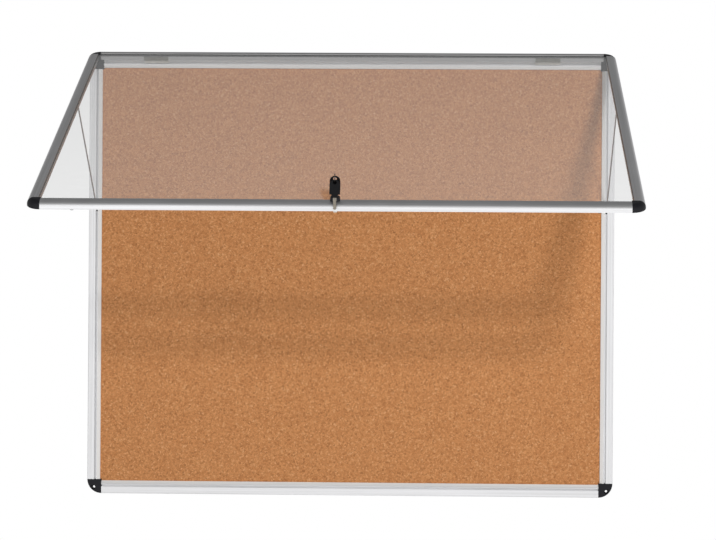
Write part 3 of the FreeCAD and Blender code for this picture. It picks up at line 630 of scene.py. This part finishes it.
def turns(count):
    """Angles that share a full turn out evenly."""
    return [2 * math.pi * step / count for step in range(count)]


def stand_for(node, name, shape, body, finish_name, edge=0):
    """Turns a shape into a piece that rides on a body and stands for a node."""
    bmesh.ops.recalc_face_normals(shape, faces=shape.faces)
    mesh = bpy.data.meshes.new(name)
    shape.to_mesh(mesh)
    shape.free()
    mesh.materials.append(finishes[finish_name])
    made = bpy.data.objects.new(name, mesh)
    bpy.context.scene.collection.objects.link(made)
    if edge:
        soften(made, edge)
    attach(made, body)
    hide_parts(node)
    print(name, len(mesh.polygons), "faces")


# %% [markdown]
# The hinges are held by countersunk screws with a cross recess. A screw turns up wherever its
# thread stops, so no two crosses stand alike: each is turned a little further than the last.
# The six screws of a node are told apart by the gaps between their points along X.

# %% Hinge screws
CROSS_ARM = 0.62
CROSS_WIDTH = 0.15
CROSS_DEPTH = 0.45
CROSS_FLOOR = 0.5
CROSS_TURN = 0.7
HEAD_EDGE = 0.1 * MM
HEAD_SIDES = 32
SHANK_SHARE = 0.54
POINT_SHARE = 0.2
SCREW_GAP = 5 * MM


def circle(radius, height):
    return [(radius * math.cos(turn), radius * math.sin(turn), height) for turn in turns(HEAD_SIDES)]


def cross(reach, width, height, turn):
    """The outline of a cross, twelve points."""
    corner = [(reach, width), (width, width), (width, reach)]
    outline = []
    for quarter in range(4):
        angle = turn + quarter * math.pi / 2
        for x, y in corner:
            outline.append((x * math.cos(angle) - y * math.sin(angle),
                            x * math.sin(angle) + y * math.cos(angle), height))
    return outline


def one_screw(shape, frame, radius, length, turn):
    """A screw whose head is flush with the frame's plane, and which points down its Z."""
    shank = radius * SHANK_SHARE
    neck = radius - shank
    arm, width = radius * CROSS_ARM, radius * CROSS_WIDTH
    body = skin(shape, frame, [
        circle(POINT_SHARE * shank, -length), circle(shank, shank - length), circle(shank, -neck),
        circle(radius, -HEAD_EDGE), circle(radius - HEAD_EDGE, 0)])
    shape.faces.new(body[0])
    recess = skin(shape, frame, [
        cross(arm, width, 0, turn),
        cross(arm * CROSS_FLOOR, width * CROSS_FLOOR, -radius * CROSS_DEPTH, turn)])
    shape.faces.new(recess[1])
    rims = []
    for rim in (body[-1], recess[0]):
        rims += [shape.edges.get((rim[at - 1], vertex)) for at, vertex in enumerate(rim)]
    bmesh.ops.triangle_fill(shape, use_beauty=True, edges=rims)


def screws(node, name, facing, body):
    """Six screws in the place of a node, their heads toward a direction."""
    groups = []
    for point in sorted(points_of(node), key=lambda point: point.x):
        if not groups or point.x - groups[-1][-1].x > SCREW_GAP:
            groups.append([])
        groups[-1].append(point)
    shape = bmesh.new()
    side = facing.cross(ALONG_X)
    for number, group in enumerate(groups):
        left, right = span(group, ALONG_X)
        back, front = span(group, facing)
        middle = sum(span(group, side)) / 2
        origin = ALONG_X * (left + right) / 2 + side * middle + facing * front
        radius, length = (right - left) / 2, front - back
        one_screw(shape, stand(origin, facing), radius, length, CROSS_TURN * number)
    print(node, "has", len(groups), "screws")
    stand_for(node, name, shape, body, "screw_steel")


screws("hinge_screws_fixed", "screws_in_tray", Vector((0, -1, 0)), "board")
screws("hinge_screws_door", "screws_in_door", -OUTWARD, "door")

# %% [markdown]
# A flat key has a cut for each tumbler of its lock, on both edges so that it goes in either way
# up, and a groove along each face that fits the ribs of the keyway. The blade is drawn from
# ring to ring along its length. The rings have the same grooves, and only their width changes
# at the cuts.

# %% Key blades
TIP_LENGTH = 2.0 * MM
TIP_SHARE = 0.44
FIRST_CUT = 4.2 * MM
CUT_PITCH = 2.6 * MM
CUT_FLAT = 0.9 * MM
CUT_SLOPE = 0.8
CUT_DEPTHS = (0.9 * MM, 0.4 * MM, 1.2 * MM, 0.7 * MM, 1.0 * MM)
BLADE_EDGE = 0.12 * MM
GROOVE_DEPTH = 0.45 * MM
GROOVE_EDGES = (0.25 * MM, 0.45 * MM, 1.05 * MM, 1.25 * MM)


def blade_ring(half, thick, height):
    """A cross-section of the blade, twelve points: two flat faces with a groove in each."""
    start, floor, floor_end, end = GROOVE_EDGES
    deep = thick - GROOVE_DEPTH
    face = [(-half, -thick), (start, -thick), (floor, -deep),
            (floor_end, -deep), (end, -thick), (half, -thick)]
    return [(x, y, height) for x, y in face] + [(-x, -y, height) for x, y in face]


def blade_stations(tip, root, half):
    """Half widths along the blade, as (height, half width), from its tip to its root."""
    stations = [(tip, TIP_SHARE * half), (tip + TIP_LENGTH, half)]
    for number, depth in enumerate(CUT_DEPTHS):
        middle = tip + FIRST_CUT + number * CUT_PITCH
        slope = CUT_FLAT / 2 + depth * CUT_SLOPE
        stations += [(middle - slope, half), (middle - CUT_FLAT / 2, half - depth),
                     (middle + CUT_FLAT / 2, half - depth), (middle + slope, half)]
    stations.append((root, half))
    return [(max(height, tip), wide) for height, wide in stations]


def key_blade(node, name, along, body):
    """A cut blade in the place of a node, its root along a direction."""
    points = points_of(node)
    left, right = span(points, ALONG_X)
    flat = along.cross(ALONG_X)
    under, over = span(points, flat)
    tip, root = span(points, along)
    frame = stand(ALONG_X * (left + right) / 2 + flat * (under + over) / 2, along)
    shape = bmesh.new()
    thick = (over - under) / 2
    stations = blade_stations(tip, root, (right - left) / 2)
    rings = skin(shape, frame, [blade_ring(wide, thick, height) for height, wide in stations])
    shape.faces.new(rings[0])
    shape.faces.new(rings[-1])
    stand_for(node, name, shape, body, "key_nickel", BLADE_EDGE)


key_blade("key_blade", "cut_key_blade", OUTWARD, "key")
key_blade("spare_key_blade", "cut_spare_key_blade", UPRIGHT, "spare_key")

# %% [markdown]
# A split ring is one wire wound twice round. The two turns lie side by side, and the wire
# steps from one to the other where its ends are. A circle is carried along that path. The
# path is a helix that stays flat except in the step, and not a torus.

# %% Split ring
STEP_ANGLE = 0.5
RING_STEPS = 72
WIRE_SIDES = 10


def split_ring():
    low, high = (Vector(corner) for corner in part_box("key_ring"))
    middle = middle_of("key_ring")
    wire = (high.x - low.x) / 4
    radius = (high.y - low.y) / 2 - 2 * wire
    shape = bmesh.new()
    rings = []
    for step in range(2 * RING_STEPS + 1):
        angle = 2 * math.pi * step / RING_STEPS
        across = max(-1.0, min(1.0, (angle - 2 * math.pi) / STEP_ANGLE))
        radial = Vector((0, math.cos(angle), math.sin(angle)))
        centre = middle + radial * radius + ALONG_X * across * wire
        rings.append([centre + wire * (radial * math.cos(turn) + ALONG_X * math.sin(turn))
                      for turn in turns(WIRE_SIDES)])
    made = skin(shape, Matrix.Identity(4), rings)
    shape.faces.new(made[0])
    shape.faces.new(made[-1])
    for face in shape.faces:
        face.smooth = len(face.verts) == 4
    stand_for("key_ring", "split_ring", shape, "ring", "ring_steel")


split_ring()

# %% [markdown]
# The world stands for a hall. It is bright in front of the board, at eye level, and dim
# toward the ceiling and the upper wall, which the open door and its pane mirror. So its
# brightness follows one angle, from straight down over the front and the zenith to the wall
# behind. Far to the sides, by the fourth power of how far a ray looks sideways, it turns into
# two plain tones, the right one brighter. What the matt surfaces get from it is halved,
# because most of their light comes from the lamps. The camera, and light that goes through
# the pane, see plain white at full strength. So does metal that mirrors what lies behind the
# board at eye level, because the white background is there.

# %% The world
ROOM_TONES = (
    (-90, 0.6), (-45, 1.15), (-25, 1.25), (-10, 1.15), (-3, 1.15), (4, 1.4), (12, 1.3), (20, 0.8),
    (30, 0.44), (45, 0.27), (60, 0.2), (80, 0.17), (100, 0.16), (130, 0.16), (150, 0.18), (165, 0.45),
    (180, 0.8))
STRAIGHT_DOWN = -90
ROOM_SWEEP = 270
BEHIND = (172, 180)
SIDES = (-0.5, 0.5)
LEFT_TONE = 0.6
RIGHT_TONE = 0.75
ROOM_LIGHT = 0.5


def grey(tone):
    return (tone, tone, tone)


def ray_kinds(finish):
    """Whether a ray comes from the camera, from a mirror or through glass."""
    return (finish.add("ShaderNodeLightPath", output=f"Is {kind} Ray")
            for kind in ("Camera", "Glossy", "Transmission"))


def seen_share(finish):
    """1 for what the camera sees, straight, in a mirror or through glass, and 0 for light."""
    return finish.clamped(sum(ray_kinds(finish), 0), 0, 1)


def world_light():
    world = bpy.data.worlds.new("hall")
    bpy.context.scene.world = world
    world.use_nodes = True
    finish = Finish(world.node_tree)
    direction = finish.add("ShaderNodeTexCoord", output="Generated")
    forward, sideways, upward = (finish.dot(direction, axis) for axis in ((0, -1, 0), ALONG_X, UPRIGHT))
    turn = finish.add("ShaderNodeMath", {"operation": "ARCTAN2"}, {0: upward, 1: forward})
    height = turn * (180 / math.pi)
    stops = [((degrees - STRAIGHT_DOWN) / ROOM_SWEEP, grey(tone)) for degrees, tone in ROOM_TONES]
    around = finish.ramp((height - STRAIGHT_DOWN) / ROOM_SWEEP, *stops)
    side = finish.mix(finish.clamped(sideways, *SIDES), grey(LEFT_TONE), grey(RIGHT_TONE))
    room = finish.mix(sideways * sideways * sideways * sideways, around, side)
    camera, glossy, through = ray_kinds(finish)
    white = finish.clamped(camera + through + glossy * finish.clamped(height, *BEHIND), 0, 1)
    light = finish.add("ShaderNodeBackground", None, {
        "Color": finish.mix(white, room, grey(1)),
        "Strength": ROOM_LIGHT + (1 - ROOM_LIGHT) * seen_share(finish)})
    finish.add("ShaderNodeOutputWorld", None, {"Surface": light})
    print("the world has", len(ROOM_TONES), "tones from the floor over the zenith to the wall")


world_light()

# %% [markdown]
# Two wide, low lamps of the hall stand far in front, a little to the right and above the board,
# one over the other. The door's bottom rail throws a soft double shadow across the cork, and the
# right rail a broad one down it, as in the photograph. A lamp's height and width set how soft
# the shadow's edges are. The lamps themselves aren't mirrored: the world already has the
# bright band that the metal shows.

# %% Lamps
LAMP_RIGHT = 1.17
LAMP_OUT = -4.9
LAMP_HEIGHTS = (1.04, 1.4)
LAMP_WIDTH = 0.46
LAMP_HEIGHT = 0.26
LAMP_POWER = 64


def hall_lamp(name, place):
    """A lamp at a place, aimed at the origin, which lies behind the board's middle."""
    lamp = bpy.data.lights.new(name, "AREA")
    lamp.shape = "RECTANGLE"
    lamp.size = LAMP_WIDTH
    lamp.size_y = LAMP_HEIGHT
    lamp.energy = LAMP_POWER
    holder = bpy.data.objects.new(name, lamp)
    bpy.context.scene.collection.objects.link(holder)
    holder.location = place
    holder.visible_glossy = False
    holder.rotation_euler = (-place).to_track_quat("-Z", "Y").to_euler()
    print(name, "stands at", place)


for number, height in enumerate(LAMP_HEIGHTS):
    hall_lamp(f"hall_lamp_{number}", Vector((LAMP_RIGHT, LAMP_OUT, height)))

# %% [markdown]
# A pale floor lies well below the board and below the camera's view. It is a round sheet of
# matt paint, and it glows a little for the camera, for mirrors and for glass. So it looks
# nearly as pale as the background, keeps the board's shadow and throws no extra light on the
# board.

# %% Floor
FLOOR_DROP = 0.75
FLOOR_RADIUS = 2.2
FLOOR_GLOW = 0.6
FLOOR_SIDES = 96
FLOOR_PATCH = 0.6


def lay_floor():
    mesh = bpy.data.meshes.new("floor")
    shape = bmesh.new()
    bmesh.ops.create_circle(shape, cap_ends=True, segments=FLOOR_SIDES, radius=FLOOR_RADIUS)
    shape.to_mesh(mesh)
    shape.free()
    floor = bpy.data.objects.new("floor", mesh)
    bpy.context.scene.collection.objects.link(floor)
    floor.location = (0, 0, cad_box[0][2] - FLOOR_DROP)
    finish = new_finish("floor_paint")
    finish.surface(
        Base_Color=finish.mix(finish.noise(FLOOR_PATCH, 3.0), grey(0.76), grey(0.8)),
        Roughness=0.9,
        Emission_Color=finish.mix(seen_share(finish), grey(0), grey(FLOOR_GLOW)),
        Emission_Strength=1.0)
    mesh.materials.append(finishes["floor_paint"])
    print("the floor lies at", round(floor.location.z, 3), "m")


lay_floor()

# %% [markdown]
# The camera stands almost six metres away, level with the middle of the board and a little
# to its right, and looks slightly to the left. From that far the board shows almost no
# perspective and the open door a great deal. The numbers come from the straight edges in the
# photograph.

# %% The camera
CAMERA_PLACE = Vector((0.1918, -5.8066, 0.0141))
CAMERA_YAW = math.radians(1.7355)
CAMERA_PITCH = math.radians(-0.014)
CAMERA_ROLL = math.radians(0.39)
IMAGE_WIDTH = 716
FOCAL_PIXELS = 2621.1
SENSOR_WIDTH = 36.0
CLIP_END = 50


def place_camera():
    camera = bpy.data.cameras.new("camera")
    camera.sensor_width = SENSOR_WIDTH
    camera.lens = FOCAL_PIXELS * SENSOR_WIDTH / IMAGE_WIDTH
    camera.clip_end = CLIP_END
    holder = bpy.data.objects.new("camera", camera)
    bpy.context.scene.collection.objects.link(holder)
    turn = Matrix.Rotation(CAMERA_YAW, 3, "Z") @ Matrix.Rotation(CAMERA_PITCH, 3, "X")
    right, forward, up = (turn @ Vector(axis) for axis in ((1, 0, 0), (0, 1, 0), (0, 0, 1)))
    rolled_right = right * math.cos(CAMERA_ROLL) + up * math.sin(CAMERA_ROLL)
    rolled_up = up * math.cos(CAMERA_ROLL) - right * math.sin(CAMERA_ROLL)
    aim = Matrix((rolled_right, rolled_up, -forward)).transposed().to_4x4()
    holder.matrix_world = Matrix.Translation(CAMERA_PLACE) @ aim
    bpy.context.scene.camera = holder
    print("the camera's lens is", round(camera.lens, 1), "mm")


place_camera()
bpy.context.scene.view_settings.view_transform = "Standard"
